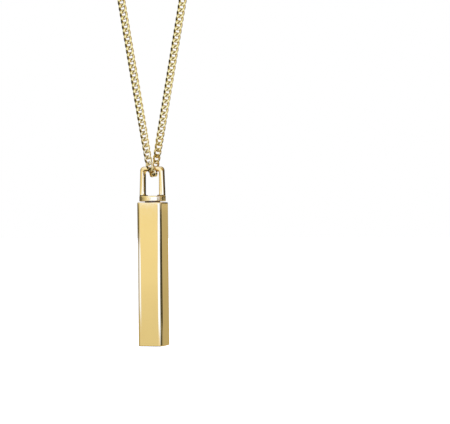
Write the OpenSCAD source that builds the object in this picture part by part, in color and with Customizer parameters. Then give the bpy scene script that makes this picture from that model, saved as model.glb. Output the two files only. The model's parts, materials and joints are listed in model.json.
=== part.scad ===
// Square tube pendant with a screw cap and an arched bail, hanging on a fine curb chain.
// The origin is where the loop hangs, +Z is up and the viewer looks along +Y.

/* [Necklace] */
// Length of the whole loop, clasp included
necklace_len = 450; // [400:10:600]
// Lean of each strand away from the vertical, in degrees
strand_lean = 9.5; // [7:0.25:14]
// Width of the chain across its flat links
chain_w = 1.6; // [1.2:0.1:1.8]
// Thickness of the flat links
chain_t = 0.62; // [0.5:0.02:0.7]
// Turn of the bend under the bail from straight front to back, in degrees
bend_yaw = 22; // [16:1:32]
// Room between the bail's bar and the chain that bends under it
bend_gap = 0.09; // [0.08:0.01:0.12]

/* [Clasp] */
// Length of the plain barrel clasp
clasp_len = 8; // [6:0.5:12]
// Diameter of the barrel clasp
clasp_d = 2.6; // [2.2:0.1:4]
// Rounding of the barrel's two ends
clasp_r = 0.7; // [0.3:0.1:1]
// Gap between the clasp and each end of the chain
clasp_gap = 0.2; // [0.15:0.05:0.3]

/* [Pendant] */
// Turn of the hanging pendant about the vertical, in degrees
pendant_yaw = 16; // [0:1:25]
// Lean of the hanging pendant, its foot to the right, in degrees
pendant_lean = 0.55; // [0:0.05:1]

/* [Bail] */
// Thickness of the arch from front to back
arch_t = 1.5; // [1.2:0.1:1.6]
// Height of the arch above the cap's disc
arch_h = 5.65; // [5:0.05:7]
// Radius of the arch's turned outline where it stands on the disc
arch_foot_r = 2.56; // [2.4:0.01:2.56]
// Radius of the arch's turned outline just under its rounded shoulder
arch_top_r = 2.39; // [2.2:0.01:2.4]
// Rounding of the arch's outer shoulder
arch_shoulder_r = 0.8; // [0.5:0.1:1]
// Height of the bar that hangs on the chain
bar_h = 0.95; // [0.8:0.05:1.1]
// Radius that the bar's edges are cut back to where the chain bends round it
bar_turn_r = 0.8; // [0.78:0.01:0.84]
// Width of the window that the chain passes through
window_w = 3; // [2.6:0.05:3.2]
// Rounding of the window's upper corners
window_r = 0.5; // [0.2:0.1:1]

/* [Screw cap] */
// Diameter of the cap's disc
disc_d = 5.15; // [5.15:0.05:5.4]
// Thickness of the cap's disc
disc_t = 1.14; // [0.8:0.02:1.4]
// Rounding of the disc's lower edge
disc_low_r = 0.14; // [0.1:0.02:0.4]
// Rounding of the disc's upper edge
disc_high_r = 0.16; // [0.05:0.01:0.16]
// Outer diameter of the threaded stud
stud_d = 2.95; // [2.5:0.05:2.95]
// Length of the stud below the disc
stud_len = 2.29; // [1.5:0.01:2.7]
// Chamfer at the stud's tip
stud_chamfer = 0.25; // [0.1:0.05:0.4]
// Gap that shows between the disc and the tube
seat_gap = 0.19; // [0.1:0.01:0.4]

/* [Tube] */
// Side of the square tube
tube_side = 5.05; // [4.8:0.05:6]
// Length of the tube
tube_len = 27.85; // [20:0.05:40]
// Rounding of the tube's four long edges
tube_edge_r = 0.8; // [0.2:0.05:1]
// Rounding of the edges round the tube's top face
tube_top_r = 0.3; // [0.1:0.05:0.5]
// Rounding of the edges round the tube's bottom face
tube_low_r = 0.12; // [0.05:0.01:0.5]
// Diameter of the threaded mouth
mouth_d = 3.05; // [2.6:0.05:3.2]
// Depth of the threaded mouth
mouth_depth = 3; // [2:0.5:5]
// Diameter of the drilled cavity below the mouth
cavity_d = 2.6; // [1.5:0.1:3]
// Metal left between the cavity and the tube's bottom face
floor_t = 1.5; // [1:0.5:4]

/* [Hidden] */
$fn = 64;
gold = [0.89, 0.73, 0.42];
pale_gold = [0.95, 0.83, 0.53];
shade_gold = [0.78, 0.62, 0.33];
weld = 0.1;
past = 1;

// The chain bends round the bar at this middle radius
bend_r = bar_turn_r + bend_gap + chain_t / 2;
bend_run = [sin(bend_yaw), cos(bend_yaw), 0];
foot_x = bend_r * sin(bend_yaw);

// The strands lean out to a round arc that closes the loop over the hanging point
loop_r = (necklace_len - PI * bend_r + 2 * foot_x / sin(strand_lean))
    / (2 / tan(strand_lean) + PI * (90 + strand_lean) / 90);
clasp_z = clasp_d / 2;
clasp_reach = clasp_len / 2 + clasp_gap;
clasp_arc = asin(clasp_reach / loop_r);
loop_z = clasp_z - loop_r * cos(clasp_arc);
strand_top = [loop_r * cos(strand_lean), 0, loop_z - loop_r * sin(strand_lean)];
hinge_z = strand_top[2] - (strand_top[0] - foot_x) / tan(strand_lean);
strand_foot = [foot_x, bend_r * cos(bend_yaw), hinge_z];

// Steps of the chain's tube, and the length over which its flat side turns to face the front
bend_steps = 6;
strand_steps = 21;
arc_steps = 12;
sides = 8;
turn_len = 14;

// Heights of the pendant, from the middle of the bail's bar
disc_top_z = bar_h / 2 - arch_h;
disc_low_z = disc_top_z - disc_t;
tube_top_z = disc_low_z - seat_gap;

function unit(v) = v / norm(v);
function ease(t) = t < 1 ? t * t * (3 - 2 * t) : 1;
function flat_side(yaw) = [cos(yaw), -sin(yaw), 0];

// One half of the chain's route from the bend's lowest point up to the clasp. Each entry is a point, the
// direction of the route there and the direction of the link's width.
function bend_route() = [for (i = [0 : bend_steps]) let (a = 90 * i / bend_steps)
    [[0, 0, hinge_z] + bend_r * (sin(a) * bend_run - [0, 0, cos(a)]),
        cos(a) * bend_run + [0, 0, sin(a)], flat_side(bend_yaw)]];
function strand_route() = [for (i = [1 : strand_steps])
    let (p = strand_foot + (strand_top - strand_foot) * pow(i / strand_steps, 1.5),
        yaw = bend_yaw * (1 - ease(norm(p - strand_foot) / turn_len)))
    [p, unit(strand_top - strand_foot), flat_side(yaw)]];
function arc_route() = [for (i = [1 : arc_steps])
    let (a = -strand_lean + (90 + strand_lean - clasp_arc) * i / arc_steps)
    [[loop_r * cos(a), 0, loop_z + loop_r * sin(a)], [-sin(a), 0, cos(a)], [cos(a), 0, sin(a)]]];
function half_route() = concat(bend_route(), strand_route(), arc_route());

// The other half is the first turned half round about the vertical and run the other way
function turned(entry) = [mirrored(-entry[0]), mirrored(entry[1]), mirrored(entry[2])];
function mirrored(v) = [v[0], v[1], -v[2]];
function whole_route() = let (half = half_route(), last = len(half) - 1)
    concat([for (i = [0 : last - 1]) turned(half[last - i])], half);

// One ring of the tube: an oval of the chain's width and thickness, square to the route
function ring(entry) = let (
    wide = unit(entry[2] - (entry[2] * entry[1]) * entry[1]),
    thick = cross(entry[1], wide))
    [for (k = [0 : sides - 1]) let (a = 360 * k / sides)
        entry[0] + wide * chain_w / 2 * cos(a) + thick * chain_t / 2 * sin(a)];

module swept_chain(route) {
    rings = len(route);
    points = [for (entry = route) each ring(entry)];
    walls = [for (i = [0 : rings - 2], k = [0 : sides - 1])
        let (a = i * sides + k, b = i * sides + (k + 1) % sides)
        each [[a, a + sides, b], [b, a + sides, b + sides]]];
    first_cap = [for (k = [0 : sides - 1]) k];
    last_cap = [for (k = [sides - 1 : -1 : 0]) (rings - 1) * sides + k];
    polyhedron(points, concat(walls, [first_cap, last_cap]));
}

// A rectangle standing on the X axis, with its two upper corners rounded
module arch_outline(w, h, r) {
    translate([-w / 2, 0]) square([w, h - r]);
    translate([r - w / 2, 0]) square([w - 2 * r, h]);
    for (side = [-1, 1]) translate([side * (w / 2 - r), h - r]) circle(r);
}

// Half of a turned profile that stands on the X axis, with a rounded edge at its foot and at its top
module turned_half(radius, h, low_r, high_r) {
    intersection() {
        square([radius, h]);
        union() {
            translate([0, low_r]) square([radius, h - low_r - high_r]);
            square([radius - low_r, h / 2]);
            translate([0, h / 2]) square([radius - high_r, h / 2]);
            translate([radius - low_r, low_r]) circle(low_r);
            translate([radius - high_r, h - high_r]) circle(high_r);
        }
    }
}

// The square tube's outline seen from above
module rounded_square(side, r) {
    for (turn = [0, 90]) rotate(turn) square([side, side - 2 * r], center = true);
    for (x = [-1, 1], y = [-1, 1]) translate([x, y] * (side / 2 - r)) circle(r);
}

// The tube's outline seen from one side, from its bottom face up
module tube_face() {
    intersection() {
        arch_outline(tube_side, tube_len, tube_top_r);
        translate([0, tube_len]) mirror([0, 1]) arch_outline(tube_side, tube_len, tube_low_r);
    }
}

// Puts a piece drawn about the middle of the bail's bar where the pendant hangs
module hanging() {
    translate([0, 0, hinge_z]) rotate([0, -pendant_lean, -pendant_yaw]) children();
}

// The arch's turned outline, before its flat front and back are milled
module arch_blank() {
    rotate_extrude() {
        polygon([[0, -weld], [arch_foot_r, -weld], [arch_foot_r, 0], [arch_top_r, arch_h - arch_shoulder_r],
            [arch_top_r - arch_shoulder_r, arch_h], [0, arch_h]]);
        intersection() {
            translate([arch_top_r - arch_shoulder_r, arch_h - arch_shoulder_r]) circle(arch_shoulder_r);
            square([arch_top_r, arch_h]);
        }
    }
}

// What is taken off the bar's edges so that it can turn in the chain
module bar_relief() {
    difference() {
        cube([window_w - 2 * window_r, arch_t + past, 2 * arch_t], center = true);
        rotate([0, 90, 0]) cylinder(r = bar_turn_r, h = window_w + past, center = true);
    }
}

module arch() {
    difference() {
        translate([0, 0, disc_top_z]) intersection() {
            arch_blank();
            translate([0, 0, arch_h / 2]) cube([2 * disc_d, arch_t, 2 * arch_h], center = true);
        }
        translate([0, arch_t / 2 + past, disc_top_z]) rotate([90, 0, 0])
            linear_extrude(arch_t + 2 * past) arch_outline(window_w, arch_h - bar_h, window_r);
        bar_relief();
    }
}

module chain() {
    color(shade_gold) swept_chain(whole_route());
}

module clasp() {
    color(gold) translate([-clasp_len / 2, 0, clasp_z]) rotate([0, 90, 0])
        rotate_extrude() turned_half(clasp_d / 2, clasp_len, clasp_r, clasp_r);
}

module bail() {
    color(gold) hanging() {
        arch();
        translate([0, 0, disc_low_z])
            rotate_extrude() turned_half(disc_d / 2, disc_t, disc_low_r, disc_high_r);
        translate([0, 0, disc_low_z - stud_len + stud_chamfer])
            cylinder(d = stud_d, h = stud_len - stud_chamfer + weld);
        translate([0, 0, disc_low_z - stud_len])
            cylinder(d1 = stud_d - 2 * stud_chamfer, d2 = stud_d, h = stud_chamfer);
    }
}

module tube() {
    color(pale_gold) hanging() translate([0, 0, tube_top_z - tube_len]) difference() {
        intersection() {
            linear_extrude(tube_len) rounded_square(tube_side, tube_edge_r);
            intersection_for (turn = [0, 90]) rotate([90, 0, turn])
                linear_extrude(2 * tube_side, center = true) tube_face();
        }
        translate([0, 0, tube_len - mouth_depth]) cylinder(d = mouth_d, h = mouth_depth + past);
        translate([0, 0, floor_t]) cylinder(d = cavity_d, h = tube_len - floor_t - mouth_depth + weld);
    }
}

chain();
clasp();
bail();
tube();
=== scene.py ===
import json
import math

import bpy
import numpy as np
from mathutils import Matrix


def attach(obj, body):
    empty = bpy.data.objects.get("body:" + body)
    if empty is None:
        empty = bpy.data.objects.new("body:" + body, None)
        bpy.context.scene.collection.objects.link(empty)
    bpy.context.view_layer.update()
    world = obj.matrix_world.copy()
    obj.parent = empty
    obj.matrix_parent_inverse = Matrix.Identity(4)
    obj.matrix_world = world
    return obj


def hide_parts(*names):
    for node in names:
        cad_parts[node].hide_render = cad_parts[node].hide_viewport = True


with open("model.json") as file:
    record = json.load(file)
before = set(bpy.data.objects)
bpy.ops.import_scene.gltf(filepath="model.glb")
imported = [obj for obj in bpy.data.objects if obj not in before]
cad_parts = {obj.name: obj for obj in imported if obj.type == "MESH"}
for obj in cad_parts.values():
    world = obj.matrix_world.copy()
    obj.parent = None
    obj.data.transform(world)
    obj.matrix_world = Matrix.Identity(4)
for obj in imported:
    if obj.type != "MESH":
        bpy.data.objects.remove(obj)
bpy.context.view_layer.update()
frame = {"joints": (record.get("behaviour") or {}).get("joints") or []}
print("frame loaded")

# Sizes below are in millimetres and angles in degrees. Pieces of the pendant are drawn about the middle of
# the bail's bar, with X along the bar and the flat front towards -Y, and hang() puts them in their place.
metre = 0.001
swing = next(joint for joint in frame["joints"] if joint["name"] == "pendant_swing")
barMiddle = np.array(swing["pos_m"]) / metre
alongBar = np.array(swing["axis"])
throughBar = np.cross([0, 0, 1], alongBar) / math.hypot(alongBar[0], alongBar[1])
pendantAxes = np.array([alongBar, throughBar, np.cross(alongBar, throughBar)])


def arc(centre, radius, start, stop, steps):
    # Centre + radius times (cos, sin) of the angles from start to stop, both ends counted.
    angle = np.radians(np.linspace(start, stop, steps + 1))
    return np.stack([centre[0] + radius * np.cos(angle), centre[1] + radius * np.sin(angle)], -1)


def ease(t):
    # 3t^2 - 2t^3 between 0 and 1, level before and after.
    t = np.clip(t, 0, 1)
    return t * t * (3 - 2 * t)


def unit(v):
    # Each vector divided by its length.
    return v / np.linalg.norm(v, axis=-1, keepdims=True)


def hang(points):
    # x, y and z along the pendant's own three axes, from the bar's middle.
    return points @ pendantAxes + barMiddle


def skinRings(rings):
    # Quads join each ring of points to the next, and a fan closes each end at its middle point.
    count, around, _ = rings.shape
    row = np.arange(count - 1)[:, None] * around
    here = np.arange(around)[None, :]
    ahead = (here + 1) % around
    quads = np.stack([row + here, row + ahead, row + around + ahead, row + around + here], -1)
    pole = np.full(around, count * around)
    last = (count - 1) * around
    firstFan = np.stack([pole, ahead[0], here[0]], -1)
    lastFan = np.stack([pole + 1, last + here[0], last + ahead[0]], -1)
    points = np.concatenate([rings.reshape(-1, 3), [rings[0].mean(0)], [rings[-1].mean(0)]])
    return points, quads.reshape(-1, 4).tolist() + firstFan.tolist() + lastFan.tolist()


def turnedRings(profile, around):
    # (r cos a, r sin a, z) for every (r, z) of the profile and every angle a round the axis.
    angle = np.linspace(0, 2 * np.pi, around, endpoint=False)
    r, z = profile[:, :1], profile[:, 1:]
    return np.stack([r * np.cos(angle), r * np.sin(angle), z + 0 * angle], -1)


def threadCut(angle, height, pitch, depth):
    # depth / 2 times 1 - cos of the turn between a right-hand helix and the point.
    return depth / 2 * (1 - np.cos(2 * np.pi * height / pitch - angle))


def makePiece(name, skin, finish, body, node, shade=None):
    # A mesh of the skin's points and faces, for its body and CAD node. One with a painted shade is faceted.
    points, faces = skin
    mesh = bpy.data.meshes.new(name)
    mesh.from_pydata((points * metre).tolist(), [], faces)
    if shade is None:
        mesh.shade_smooth()
    else:
        mesh.shade_flat()
        mesh.attributes.new("shade", "FLOAT", "POINT").data.foreach_set("value", shade)
    mesh.materials.append(finish)
    piece = bpy.data.objects.new(name, mesh)
    bpy.context.scene.collection.objects.link(piece)
    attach(piece, body)
    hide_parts(node)
    print(name, "made,", len(faces), "faces")


# Finishes

firstColour, secondColour, mixedColour = 6, 7, 2  # sockets of a Mix node
noiseSpread = (0.3, 0.7)  # most of a noise's values lie between these


def addNode(tree, kind, **values):
    # A new node, with each value set on its input of that name, or on the node itself where it has none.
    node = tree.nodes.new(kind)
    for key, value in values.items():
        if key in node.inputs:
            node.inputs[key].default_value = value
        else:
            setattr(node, key, value)
    return node


def goldFinish(look):
    # Polished gold: a slow drift of colour, a haze of fine handling marks in the gloss and a faint ripple. A
    # look with a shade mixes that colour of painted shade in by the mesh's own attribute.
    finish = bpy.data.materials.new(look["name"])
    finish.use_nodes = True
    tree = finish.node_tree
    shader = tree.nodes["Principled BSDF"]
    shader.inputs["Metallic"].default_value = 1.0
    shader.inputs["Specular Tint"].default_value = (*look["edge"], 1)
    place = addNode(tree, "ShaderNodeTexCoord")
    drift = addNode(tree, "ShaderNodeTexNoise", Scale=look["driftScale"], Detail=2.0)
    colours = addNode(tree, "ShaderNodeMix", data_type="RGBA")
    colours.inputs[firstColour].default_value = (*look["deep"], 1)
    colours.inputs[secondColour].default_value = (*look["pale"], 1)
    marks = addNode(tree, "ShaderNodeTexNoise", Scale=look["markScale"], Detail=4.0, Roughness=0.6)
    gloss = addNode(tree, "ShaderNodeMapRange")
    gloss.inputs["From Min"].default_value = noiseSpread[0]
    gloss.inputs["From Max"].default_value = noiseSpread[1]
    gloss.inputs["To Min"].default_value = look["roughness"][0]
    gloss.inputs["To Max"].default_value = look["roughness"][1]
    stretch = addNode(tree, "ShaderNodeMapping", Scale=look["rippleStretch"])
    ripple = addNode(tree, "ShaderNodeTexNoise", Scale=look["rippleScale"], Detail=look["rippleDetail"])
    bump = addNode(tree, "ShaderNodeBump", Strength=look["ripple"], Distance=look["rippleHeight"])
    link = tree.links.new
    link(place.outputs["Object"], drift.inputs["Vector"])
    link(place.outputs["Object"], marks.inputs["Vector"])
    link(place.outputs["Object"], stretch.inputs["Vector"])
    link(stretch.outputs["Vector"], ripple.inputs["Vector"])
    link(drift.outputs["Fac"], colours.inputs[0])
    # Painted shade, mixed into the base colour by the mesh's shade attribute.
    if "shade" in look:
        shade = addNode(tree, "ShaderNodeAttribute", attribute_name="shade")
        shaded = addNode(tree, "ShaderNodeMix", data_type="RGBA")
        shaded.inputs[secondColour].default_value = (*look["shade"], 1)
        link(shade.outputs["Fac"], shaded.inputs[0])
        link(colours.outputs[mixedColour], shaded.inputs[firstColour])
        colours = shaded
    link(colours.outputs[mixedColour], shader.inputs["Base Color"])
    link(marks.outputs["Fac"], gloss.inputs["Value"])
    link(gloss.outputs["Result"], shader.inputs["Roughness"])
    link(ripple.outputs["Fac"], bump.inputs["Height"])
    link(bump.outputs["Normal"], shader.inputs["Normal"])
    return finish


polished = {
    "name": "polished_gold",
    "deep": (0.90, 0.665, 0.255),
    "pale": (0.955, 0.725, 0.29),
    "edge": (0.95, 0.80, 0.50),
    "roughness": (0.025, 0.05),
    "driftScale": 180.0,
    "markScale": 2600.0,
    "rippleScale": 900.0,
    "rippleStretch": (1.0, 1.0, 1.0),
    "rippleDetail": 1.0,
    "ripple": 0.01,
    "rippleHeight": 0.00001,
}
turnedLook = {
    **polished,
    "name": "turned_gold",
    "roughness": (0.04, 0.07),
    "rippleScale": 20000.0,
    "rippleStretch": (0.01, 0.01, 1.0),
    "ripple": 1.0,
    "rippleHeight": 0.0000006,
}
linkLook = {
    **polished,
    "name": "link_gold",
    "deep": (0.84, 0.66, 0.30),
    "pale": (0.95, 0.80, 0.37),
    "shade": (0.14, 0.09, 0.035),  # painted shade where the links hook
    "roughness": (0.1, 0.16),
}
# A near-black finish for the plates of painted shade at the arch's feet.
footShadeLook = {
    **polished,
    "name": "seam_gold",
    "deep": (0.045, 0.036, 0.018),
    "pale": (0.07, 0.055, 0.026),
    "edge": (0.15, 0.125, 0.08),
    "roughness": (0.35, 0.5),
}
# Rough like an unpolished thread, and its colour darkened from gold to grey as painted shade for the gap
# under the disc.
threadShadeLook = {
    **polished,
    "name": "dull_thread_gold",
    "deep": (0.24, 0.23, 0.20),
    "pale": (0.34, 0.32, 0.28),
    "edge": (0.4, 0.38, 0.34),
    "roughness": (0.45, 0.6),
}
polishedGold = goldFinish(polished)
turnedGold = goldFinish(turnedLook)
linkGold = goldFinish(linkLook)
footShadeGold = goldFinish(footShadeLook)
threadShadeGold = goldFinish(threadShadeLook)
print("finishes made")


# Clasp

clasp = {"length": 8.0, "diameter": 2.6, "rounding": 0.7, "gap": 0.2, "around": 40}


def claspSkin():
    # A profile with quarter-round ends turned about a level axis.
    half, radius, r = clasp["length"] / 2, clasp["diameter"] / 2, clasp["rounding"]
    left = arc((radius - r, r - half), r, -90, 0, 8)
    right = arc((radius - r, half - r), r, 0, 90, 8)
    middle = [[radius, 1.2 * r - half], [radius, half - 1.2 * r]]
    profile = np.concatenate([[[0.4 * radius, -half]], left, middle, right, [[0.4 * radius, half]]])
    x, y, z = np.moveaxis(turnedRings(profile, clasp["around"]), -1, 0)
    return skinRings(np.stack([z, x, y + radius], -1))


makePiece("barrel_clasp", claspSkin(), polishedGold, "necklace", "clasp")


# Chain

chain = {
    "length": 450,  # of the whole loop, the clasp included
    "lean": 9.5,  # of each strand away from the vertical
    "pitch": 1.2,  # from one hooking point to the next along a strand
    "wire": 0.48,
    "halfWidth": 0.56,  # the link's middle line, across the chain
    "halfLength": 0.8,  # the same along it
    "twist": 0.22,  # how far each link's shoulders lean forward and back
    "flat": 0.31,  # the links are ground flat at this distance from the chain's middle plane
    "bendRadius": 1.2,  # of the chain's middle round the bar
    "bendYaw": 22,  # turn of the bend under the bar from straight front to back
    "turnLength": 14,  # over which the links turn to face the front
    "along": 14,  # points along a link's wire
    "round": 6,  # points round it
    "paintedShadePower": 8,  # the higher, the shorter the painted shade at each link's end
    "paintedShadeOutside": 0.5,  # its share on the wire's outer side
    "paintedShadeRise": 1.5,  # how fast it sets in as links stand up from the level
}
# Hooking points round the bar, from the front strand to the back one, each to the right, back and up from
# the bar's middle
bendHooks = np.array([
    (-0.60, -1.12, 1.02),
    (-0.16, -1.20, -0.08),
    (0.28, -0.85, -1.02),
    (0.22, 0.04, -1.14),
    (0.30, 0.78, -0.74),
    (0.48, 1.10, 0.175),
])
halfTurn = np.array([-1, -1, 1])


def strandHooks(start):
    # Even steps along a straight strand and the neck's arc, up to the clasp on the right. The arc's radius
    # makes the loop its full length: (length - bend + 2 foot / sin lean) / (2 / tan lean + the arc's angle).
    lean = math.radians(chain["lean"])
    foot = chain["bendRadius"] * math.sin(math.radians(chain["bendYaw"]))
    spare = chain["length"] - math.pi * chain["bendRadius"] + 2 * foot / math.sin(lean)
    radius = spare / (2 / math.tan(lean) + math.pi + 2 * lean)
    claspAngle = math.asin((clasp["length"] / 2 + clasp["gap"]) / radius)
    centre = clasp["diameter"] / 2 - radius * math.cos(claspAngle)
    top = np.array([radius * math.cos(lean), 0, centre - radius * math.sin(lean)])
    straight = np.linalg.norm(top - start)
    total = straight + radius * (math.pi / 2 - claspAngle + lean)
    count = round(total / chain["pitch"])
    travelled = np.arange(count + 1)[:, None] * total / count
    line = start + unit(top - start) * travelled
    angle = (travelled - straight) / radius - lean
    bow = np.concatenate([radius * np.cos(angle), 0 * angle, centre + radius * np.sin(angle)], -1)
    return np.where(travelled < straight, line, bow)


def linkFrames():
    # Middle, width direction, length direction and thickness direction of every link, from the clasp's left
    # end down round the bar and up again. The width turns from the bend's yaw to the front as the strands
    # rise.
    bend = bendHooks + barMiddle
    front = strandHooks(bend[0] * halfTurn) * halfTurn
    hooks = np.concatenate([front[::-1], bend[1:-1], strandHooks(bend[-1])])
    middle = (hooks[1:] + hooks[:-1]) / 2
    along = unit(hooks[1:] - hooks[:-1])
    risen = middle[:, 2:] - barMiddle[2]
    yaw = np.radians(chain["bendYaw"]) * (1 - ease(risen / chain["turnLength"]))
    across = np.concatenate([np.cos(yaw), -np.sin(yaw), 0 * yaw], -1)
    across = unit(across - (across * along).sum(-1, keepdims=True) * along)
    return middle, across, along, np.cross(along, across)


def chainSkin():
    # Each link's middle line is (a cos t, b sin t, c sin 2t) across, along and through the chain, with a
    # six-sided wire about it, cut flat at the front and back.
    t = np.linspace(0, 2 * np.pi, chain["along"], endpoint=False)[:, None]
    a, b, c = chain["halfWidth"], chain["halfLength"], chain["twist"]
    line = np.concatenate([a * np.cos(t), b * np.sin(t), c * np.sin(2 * t)], -1)
    heading = unit(np.concatenate([-a * np.sin(t), b * np.cos(t), 2 * c * np.cos(2 * t)], -1))
    outward = np.concatenate([np.cos(t) / a, np.sin(t) / b, 0 * t], -1)
    outward = unit(outward - (outward * heading).sum(-1, keepdims=True) * heading)
    upward = np.cross(outward, heading)
    angle = np.linspace(0, 2 * np.pi, chain["round"], endpoint=False)[:, None]
    wire = chain["wire"] / 2 * (np.cos(angle) * outward[:, None] + np.sin(angle) * upward[:, None])
    link = line[:, None] + wire
    link[..., 2] = np.clip(link[..., 2], -chain["flat"], chain["flat"])
    middle, across, along, through = linkFrames()
    basis = np.stack([across, along, through], 1)
    points = middle[:, None, None] + np.einsum("ijk,lkm->lijm", link, basis)
    rows, columns = link.shape[:2]
    i, j = np.meshgrid(np.arange(rows), np.arange(columns), indexing="ij")
    nextRow, nextColumn = (i + 1) % rows * columns, (j + 1) % columns
    quads = np.stack([i * columns + j, nextRow + j, nextRow + nextColumn, i * columns + nextColumn], -1)
    quads = quads.reshape(1, -1, 4) + np.arange(len(middle))[:, None, None] * rows * columns
    return points.reshape(-1, 3), quads.reshape(-1, 4).tolist()


def chainShade():
    # Painted shade at each link's higher end: sin(t) to a power, times a share that rises with -cos of the
    # turn round the wire from its outer side to its inner. Links that lie nearly level have little.
    t = np.linspace(0, 2 * np.pi, chain["along"], endpoint=False)[:, None]
    angle = np.linspace(0, 2 * np.pi, chain["round"], endpoint=False)
    rising = np.clip(chain["paintedShadeRise"] * linkFrames()[2][:, 2], -1, 1)[:, None, None]
    lengthwise = np.clip(rising * np.sin(t), 0, 1) ** chain["paintedShadePower"]
    outside = chain["paintedShadeOutside"]
    return (lengthwise * (outside + (1 - outside) * np.clip(-np.cos(angle), 0, 1))).ravel()


makePiece("chain_links", chainSkin(), linkGold, "necklace", "chain", chainShade())


# Bail

bail = {
    "archThickness": 1.52,
    "archHeight": 5.71,
    "barHeight": 0.95,
    "footRadius": 2.56,
    "topRadius": 2.39,
    "shoulder": 0.8,
    "windowWidth": 2.95,
    "skew": 0.03,  # how far the arch's top stands to the right
    "windowRounding": 0.3,
    "footFlare": (0.28, 0.45),  # how far each leg spreads into the window at its foot, and how high
    "seam": (0.01, 0.17),  # how far the dark plate of painted shade under each leg stands proud of it, and how high
    "edgeRounding": 0.4,
    "turnedRadius": 2.4,  # the arch's sides are part of a turned form of this radius
    "sink": 0.1,  # how far the feet run into the disc
    "discDiameter": 5.15,
    "discThickness": 1.08,
    "discLowRounding": 0.14,
    "discHighRounding": 0.16,
    "seatGap": 0.19,
    "studDiameter": 2.95,
    "studLength": 2.29,
    "threadPitch": 0.5,
    "threadDepth": 0.22,
    "neckLength": 0.5,
    "tipChamfer": 0.25,
    "footPoints": 16,
    "legPoints": 8,
    "barPoints": 7,
    "turnSteps": 12,
    "discAround": 96,
    "studAround": 64,
    "threadSteps": 10,  # rings in one pitch
}
discHigh = bail["barHeight"] / 2 - bail["archHeight"]
discLow = discHigh - bail["discThickness"]


def archOutlines():
    # Matching points of the window's outline and the outer outline, from foot to foot, as (x, z). A leg's
    # inner side spreads at its foot along a quarter ellipse, and the whole leans by skew * z / height.
    height, wide = bail["archHeight"], bail["windowWidth"] / 2
    head, r, shoulder = height - bail["barHeight"], bail["windowRounding"], bail["shoulder"]
    foot, top = bail["footRadius"], bail["topRadius"]
    spread, spreadHeight = bail["footFlare"]
    low = (1 - np.cos(np.radians(np.linspace(0, 90, bail["footPoints"])))) * spreadHeight
    above = np.linspace(spreadHeight, head - r, bail["legPoints"])[1:-1]
    leg = np.concatenate([[-bail["sink"]], low, above])[:, None]
    fromTop = np.clip(1 - leg / spreadHeight, 0, 1)
    innerLeg = np.concatenate([wide - spread * (1 - np.sqrt(1 - fromTop ** 2)), leg], -1)
    outerHeight = leg * (height - shoulder) / (head - r)
    share = np.clip(outerHeight, 0, None) / (height - shoulder)
    outerLeg = np.concatenate([foot + (top - foot) * share, outerHeight], -1)
    bar = np.linspace(1, 0, bail["barPoints"])[1:, None]
    innerBar = np.concatenate([bar * (wide - r), 0 * bar + head], -1)
    outerBar = np.concatenate([bar * (top - shoulder), 0 * bar + height], -1)
    innerTurn = arc((wide - r, head - r), r, 0, 90, bail["turnSteps"])
    outerTurn = arc((top - shoulder, height - shoulder), shoulder, 0, 90, bail["turnSteps"])
    inner = np.concatenate([innerLeg, innerTurn, innerBar])
    outer = np.concatenate([outerLeg, outerTurn, outerBar])
    outlines = [np.concatenate([half, (half * [-1, 1])[-2::-1]]) for half in (inner, outer)]
    return [outline + outline[:, 1:] * [bail["skew"] / height, 0] for outline in outlines]


def archRings(inner, outer, half, r):
    # A rectangle with edges rounded by r, carried along the arch: across it from the window to the outer
    # outline, and its outer side drawn in by sqrt(1 - (y / R)^2), as a turned form's is.
    width = np.linalg.norm(outer - inner, axis=-1)
    quarter = arc((0, 0), r, 0, 90, 8)
    inset = np.concatenate([[0, 0], r - quarter[:, 0], [1.1 * r]])
    depth = np.concatenate([[0.2 * half, half - 1.25 * r], half - r + quarter[:, 1], [half]])
    # Four corners in turn: outer back, inner back, inner front and outer front.
    outside = np.repeat([1, 0, 0, 1], len(inset))
    inset = np.concatenate([inset, inset[::-1], inset, inset[::-1]])
    depth = np.concatenate([depth, depth[::-1], -depth, -depth[::-1]])
    across = outside * width[:, None] + (1 - 2 * outside) * inset
    share = across / width[:, None]
    flat = inner[:, None] + (outer - inner)[:, None] * share[..., None]
    drawnIn = 1 - share * (1 - np.sqrt(1 - (depth / bail["turnedRadius"]) ** 2))
    return np.stack([flat[..., 0] * drawnIn, depth + 0 * share, discHigh + flat[..., 1]], -1)


def archSkin():
    # The arch's rounded rectangles between its two outlines, from one foot over the bar to the other.
    inner, outer = archOutlines()
    return skinRings(hang(archRings(inner, outer, bail["archThickness"] / 2, bail["edgeRounding"])))


def footShadeSkin():
    # Two low plates of painted shade at the legs' feet, each a leg's foot a little enlarged,
    # the left one the mirror of the right.
    proud, high = bail["seam"]
    near = bail["windowWidth"] / 2 - bail["footFlare"][0] - proud
    far = bail["discDiameter"] / 2 - bail["discHighRounding"] / 2
    inner, outer = (np.array([[x, -bail["sink"]], [x, 0], [x, high]]) for x in (near, far))
    right = archRings(inner, outer, bail["archThickness"] / 2 + proud, 0.1)
    left = right[::-1] * [-1, 1, 1]
    points, faces = skinRings(hang(right))
    otherPoints, otherFaces = skinRings(hang(left))
    shifted = [[corner + len(points) for corner in face] for face in otherFaces]
    return np.concatenate([points, otherPoints]), faces + shifted


def discSkin():
    # A flat disc with a soft lower edge and a crisp upper edge, turned about the vertical.
    radius, low, high = bail["discDiameter"] / 2, bail["discLowRounding"], bail["discHighRounding"]
    profile = np.concatenate([
        [[0.4 * radius, discLow], [radius - 1.2 * low, discLow]],
        arc((radius - low, discLow + low), low, -90, 0, 10),
        [[radius, discLow + 1.2 * low], [radius, discHigh - 1.5 * high]],
        arc((radius - high, discHigh - high), high, 0, 90, 6),
        [[radius - 1.5 * high, discHigh], [0.5 * radius, discHigh]],
    ])
    return skinRings(hang(turnedRings(profile, bail["discAround"])))


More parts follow.
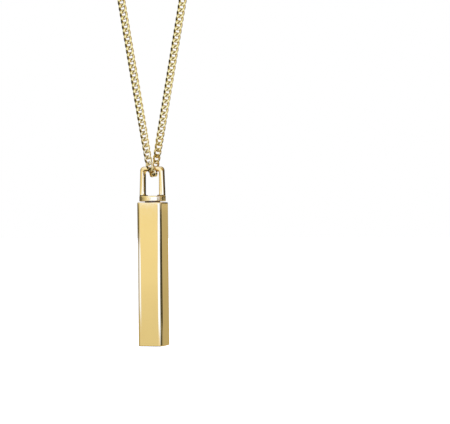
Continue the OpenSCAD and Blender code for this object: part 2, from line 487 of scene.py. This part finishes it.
def studSkin():
    # A plain neck, then a right-hand helical groove, then a chamfered tip.
    radius, chamfer = bail["studDiameter"] / 2, bail["tipChamfer"]
    tip, neck = discLow - bail["studLength"], discLow - bail["neckLength"]
    threads = np.arange(tip + chamfer, neck, bail["threadPitch"] / bail["threadSteps"])
    height = np.concatenate([[tip], threads, [neck, discLow, discLow + bail["sink"]]])
    profile = np.stack([np.where(height > tip, radius, radius - chamfer), height], -1)
    rings = turnedRings(profile, bail["studAround"])
    angle = np.arctan2(rings[..., 1], rings[..., 0])
    fade = ease((neck - rings[..., 2]) / bail["threadPitch"]) * (rings[..., 2] > tip)
    cut = threadCut(angle, rings[..., 2], bail["threadPitch"], bail["threadDepth"]) * fade
    rings[..., :2] *= (1 - cut / radius)[..., None]
    return skinRings(hang(rings))


makePiece("bail_arch", archSkin(), polishedGold, "bail", "bail")
# Dark plates of painted shade where the legs meet the disc.
makePiece("arch_seam", footShadeSkin(), footShadeGold, "bail", "bail")
makePiece("cap_disc", discSkin(), turnedGold, "bail", "bail")
makePiece("threaded_stud", studSkin(), threadShadeGold, "bail", "bail")


# Tube

tube = {
    "side": 5.05,
    "length": 27.85,
    "edgeRounding": 0.8,
    "topRounding": 0.2,
    "lowRounding": 0.12,
    "mouthDiameter": 3.05,
    "mouthDepth": 3.0,
    "mouthChamfer": 0.12,
    "cavityDiameter": 2.6,
    "floor": 1.5,
    "flatPoints": 16,
    "cornerSteps": 12,
}
tubeHigh = discLow - bail["seatGap"]
tubeLow = tubeHigh - tube["length"]


def squareRing(half, rounding, z):
    # Four flats and four quarter arcs in turn, at height z. The points of a flat lie close at its ends.
    flat = np.sin(np.linspace(-np.pi / 2, np.pi / 2, tube["flatPoints"]))[:, None] * (half - rounding)
    side = np.concatenate([0 * flat + half, flat], -1)
    corner = arc((half - rounding, half - rounding), rounding, 0, 90, tube["cornerSteps"])[1:-1]
    quarter = np.concatenate([side, corner])
    turns = np.radians([0, 90, 180, 270])
    matrices = np.array([[[math.cos(a), math.sin(a)], [-math.sin(a), math.cos(a)]] for a in turns])
    ring = np.concatenate(quarter @ matrices)
    return np.column_stack([ring, np.full(len(ring), z)])


def tubeSkin():
    # A rounded square drawn in by the end roundings, then over the top face and down a round threaded mouth
    # into the cavity. The mouth's thread is cut outwards.
    half, edge = tube["side"] / 2, tube["edgeRounding"]
    low, high = tube["lowRounding"], tube["topRounding"]
    mouth, cavity, chamfer = tube["mouthDiameter"] / 2, tube["cavityDiameter"] / 2, tube["mouthChamfer"]
    wall = np.concatenate([
        [[0.5 * half, tubeLow], [half - 1.5 * low, tubeLow]],
        arc((half - low, tubeLow + low), low, -90, 0, 6),
        [[half, tubeLow + 2 * low], [half, tubeHigh - 1.3 * high]],
        arc((half - high, tubeHigh - high), high, 0, 90, 10),
        [[half - 1.2 * high, tubeHigh]],
    ])
    outer = np.stack([squareRing(reach, max(edge - half + reach, 0.1 * reach), z) for reach, z in wall])
    toward = unit(outer[-1, :, :2])
    angle = np.arctan2(toward[:, 1], toward[:, 0])
    threadStop = tubeHigh - tube["mouthDepth"]
    threads = np.arange(tubeHigh - chamfer, threadStop, -bail["threadPitch"] / bail["threadSteps"])
    bore = np.concatenate([
        [[mouth + chamfer, tubeHigh]],
        np.stack([0 * threads + mouth, threads], -1),
        [[mouth, threadStop], [cavity, threadStop], [cavity, tubeLow + tube["floor"]]],
    ])
    r, z = bore[:, :1], bore[:, 1:]
    inThread = (r == mouth) * ease((z - threadStop) / bail["threadPitch"])
    r = r + threadCut(angle, z, bail["threadPitch"], bail["threadDepth"]) * inThread
    inner = np.concatenate([r[..., None] * toward, (z + 0 * angle)[..., None]], -1)
    return skinRings(hang(np.concatenate([outer, inner])))


makePiece("square_tube", tubeSkin(), polishedGold, "tube", "tube")


# Floor, studio and camera

stage = {
    "drop": 0.06,  # the floor's depth under the bar's middle, in metres
    "floorRadius": 3.0,  # in metres
    "rings": (1.0, 0.5, 0.0005),  # shares of that radius
    "around": 64,
    "roughness": 0.9,
    "glow": 0.5,
    "grainScale": 30.0,
    "tones": (0.9, 0.94),
}


def makeFloor():
    # A disc: rings of radius r at one height, closed in the middle.
    angle = np.linspace(0, 2 * np.pi, stage["around"], endpoint=False)
    radii = np.array(stage["rings"])[:, None] * stage["floorRadius"]
    height = barMiddle[2] * metre - stage["drop"]
    rings = np.stack([radii * np.cos(angle), radii * np.sin(angle), height + 0 * radii * angle], -1)
    points, faces = skinRings(rings)
    mesh = bpy.data.meshes.new("floor")
    mesh.from_pydata(points.tolist(), [], [face for face in faces if len(points) - 2 not in face])
    finish = bpy.data.materials.new("pale_floor")
    finish.use_nodes = True
    tree = finish.node_tree
    shader = tree.nodes["Principled BSDF"]
    shader.inputs["Roughness"].default_value = stage["roughness"]
    shader.inputs["Emission Color"].default_value = (1, 1, 1, 1)
    shader.inputs["Emission Strength"].default_value = stage["glow"]
    grain = addNode(tree, "ShaderNodeTexNoise", Scale=stage["grainScale"], Detail=3.0)
    tone = addNode(tree, "ShaderNodeMapRange")
    tone.inputs["To Min"].default_value = stage["tones"][0]
    tone.inputs["To Max"].default_value = stage["tones"][1]
    tree.links.new(grain.outputs["Fac"], tone.inputs["Value"])
    tree.links.new(tone.outputs["Result"], shader.inputs["Base Color"])
    mesh.materials.append(finish)
    floor = bpy.data.objects.new("floor", mesh)
    bpy.context.scene.collection.objects.link(floor)
    floor.visible_glossy = False
    floor.visible_shadow = False


# Each panel of the studio glows evenly between two bearings (0 is behind the camera, positive to its right)
# and two heights above the horizon. Later panels lie over earlier ones. Cool ones show white on gold.
coolWhite = (1.15, 1.55, 3.8)
studio = {
    "base": 0.68,
    # Name, bearings and the softness of those edges, heights and the softness of those, light
    "panels": [
        ("dark floor", (-175, 50), 16, (-88, -8), 2, 0.03),
        ("low card left", (-106, -4), 12, (-22, -9), 2, 0.85),
        ("low card right", (4, 106), 12, (-22, -9), 2, 1.0),
        ("low card back", (150, 212), 12, (-22, -9), 2, 0.8),
        ("low strip left", (-124, -120), 1, (-22, -9), 2, 0.5),
        ("left wall", (-185, -95), 44, (-8, 6), 0.8, 0.12),
        ("left foot", (-185, -80), 10, (-8, -3.7), 0.8, 0.5),
        ("left haze", (-185, -96), 12, (-3.7, -1.2), 0.8, (0.5, 0.6, 1.2)),
        ("left haze near", (-100, -60), 8, (-3.7, -1.2), 0.8, (0.8, 0.95, 2.0)),
        ("left wall near", (-185, -72), 30, (-1.3, -0.1), 0.5, 0.14),
        ("left strip", (-124, -120), 1, (-8, 6), 0.8, 0.4),
        ("back strip", (-172, -162), 3, (-8, 6), 0.8, 0.8),
        ("left wall pale", (-108, -30), 24, (0.5, 5.5), 0.3, 0.9),
        ("front left", (-54, -20), 30, (-8, 60), 0.8, 0.965),
        ("front left foot", (-80, -20), 12, (-9, -2.7), 3.4, 0.797),
        ("front left high", (-60, -20), 10, (12, 60), 6, (1.15, 1.35, 2.2)),
        ("left dark", (-185, -100), 14, (6.5, 20), 2, 0.05),
        ("right wall", (34, 140), 6, (3, 60), 0.8, (0.4, 0.31, 0.24)),
        ("right side", (100, 180), 12, (-8, 0.92), 0.1, (0.55, 0.56, 0.64)),
        ("right side lip", (100, 180), 12, (0.46, 0.92), 0.3, (0.66, 0.67, 0.8)),
        ("right side near", (72, 110), 8, (-8, 0.95), 0.4, 0.36),
        ("right side high", (92, 180), 10, (0.92, 6), 0.1, 0.06),
        ("right side end", (134, 185), 8, (0.69, 6), 0.06, 0.06),
        ("right shoulder", (141, 185), 6, (5, 21), 3, 0.05),
        ("right side top", (92, 180), 10, (33, 60), 4, 0.85),
        ("right pale", (20, 88), 8, (0.8, 2.6), 0.5, (0.66, 0.64, 0.75)),
        ("flag foot", (22, 72), 6, (-8, -3.2), 0.7, 0.03),
        ("flag", (30, 104), 12, (-3.2, 0.88), 0.5, 0.03),
        ("flag strip", (56.5, 59.5), 1, (-8, 0.5), 0.7, 0.8),
        ("left card", (-62, -40), 3, (-3.7, -1.2), 0.8, coolWhite),
        ("disc card", (-48, -18), 16, (0.36, 0.68), 0.06, coolWhite),
        ("disc card right", (-27, 20), 5, (0.45, 1.0), 0.06, coolWhite),
        ("softbox foot", (-29, 14), 4, (-9, -3.8), 0.6, (0.91, 0.91, 1.05)),
        ("softbox low", (-30, 27), 4, (-3.8, -1.6), 0.8, coolWhite),
        ("softbox middle", (-22, 33), 4, (-1.8, -0.2), 0.8, coolWhite),
        ("softbox", (-13, 40), 4, (-0.4, 1.45), 0.5, coolWhite),
        ("arch card", (12, 66), 4, (1.35, 4.5), 0.3, coolWhite),
        ("arch card left", (-34.4, -14), 2, (1.45, 4.5), 0.3, coolWhite),
        ("softbox top", (-34.4, 34), 2, (4.5, 20), 0.8, (1.1, 1.28, 1.5)),
        ("softbox middle top", (-14, 12), 3, (1.4, 5), 0.6, (1.1, 1.28, 1.5)),
        ("softbox high", (-34.4, 34), 2, (20, 62), 8, (0.9, 0.92, 0.9)),
        ("ceiling", (-180, 180), 1, (58, 95), 1, (0.75, 0.9, 2.0)),
    ],
}


def makeStudio():
    # Bearing = atan2(x, -y) and height = asin(z) of the direction. Each panel is a product of smooth steps.
    world = bpy.data.worlds.new("studio")
    bpy.context.scene.world = world
    world.use_nodes = True
    tree = world.node_tree
    link = tree.links.new
    background = tree.nodes["Background"]
    direction = addNode(tree, "ShaderNodeTexCoord")
    parts = addNode(tree, "ShaderNodeSeparateXYZ")
    link(direction.outputs["Generated"], parts.inputs[0])

    def maths(operation, *values):
        # One sum of the values, each a number or a socket.
        node = addNode(tree, "ShaderNodeMath", operation=operation)
        for socket, value in zip(node.inputs, values):
            if isinstance(value, (int, float)):
                socket.default_value = value
            else:
                link(value, socket)
        return node.outputs[0]

    def slope(value, start, stop, low, high):
        # Smooth from low at start to high at stop, and level beyond them.
        node = addNode(tree, "ShaderNodeMapRange", interpolation_type="SMOOTHSTEP")
        link(value, node.inputs["Value"])
        for key, number in (("From Min", start), ("From Max", stop), ("To Min", low), ("To Max", high)):
            node.inputs[key].default_value = number
        return node.outputs["Result"]

    def blend(share, first, second):
        # From first at a share of 0 to second at 1, each a number, a colour or a socket.
        node = addNode(tree, "ShaderNodeMix", data_type="RGBA")
        link(share, node.inputs[0])
        for socket, value in ((node.inputs[firstColour], first), (node.inputs[secondColour], second)):
            if isinstance(value, (int, float)):
                socket.default_value = (value, value, value, 1)
            elif isinstance(value, tuple):
                socket.default_value = (*value, 1)
            else:
                link(value, socket)
        return node.outputs[mixedColour]

    degree = 180 / math.pi
    bearing = maths("ARCTAN2", parts.outputs[0], maths("MULTIPLY", parts.outputs[1], -1.0))
    bearing = maths("MULTIPLY", bearing, degree)
    height = maths("MULTIPLY", maths("ARCSINE", parts.outputs[2]), degree)
    glow = studio["base"]
    for _, (left, right), soft, (low, high), edge, light in studio["panels"]:
        half = (right - left) / 2
        fromMiddle = maths("SUBTRACT", bearing, (left + right) / 2)
        away = maths("ABSOLUTE", maths("WRAP", fromMiddle, 180.0, -180.0))
        window = slope(away, half - soft / 2, half + soft / 2, 1.0, 0.0)
        window = maths("MULTIPLY", window, slope(height, low - edge / 2, low + edge / 2, 0.0, 1.0))
        window = maths("MULTIPLY", window, slope(height, high - edge / 2, high + edge / 2, 1.0, 0.0))
        glow = blend(window, glow, light)
    # The camera and the matt floor see plain white.
    path = addNode(tree, "ShaderNodeLightPath")
    plain = maths("MAXIMUM", path.outputs["Is Camera Ray"], path.outputs["Is Diffuse Ray"])
    link(blend(plain, glow, 1.0), background.inputs["Color"])


# The camera stands this far to the right, back and up from the bar's middle, in metres
view = {"place": (0.01414, -0.3283, -0.0084), "lens": 135, "roll": 0.1, "near": 0.01}


def makeCamera():
    # Level, looking straight back, with a small roll.
    data = bpy.data.cameras.new("camera")
    data.lens = view["lens"]
    data.clip_start = view["near"]
    camera = bpy.data.objects.new("camera", data)
    camera.location = barMiddle * metre + view["place"]
    camera.rotation_euler = (math.radians(90), math.radians(view["roll"]), 0)
    bpy.context.scene.collection.objects.link(camera)
    bpy.context.scene.camera = camera


makeFloor()
makeStudio()
makeCamera()
bpy.context.scene.view_settings.view_transform = "Standard"
print("studio made")
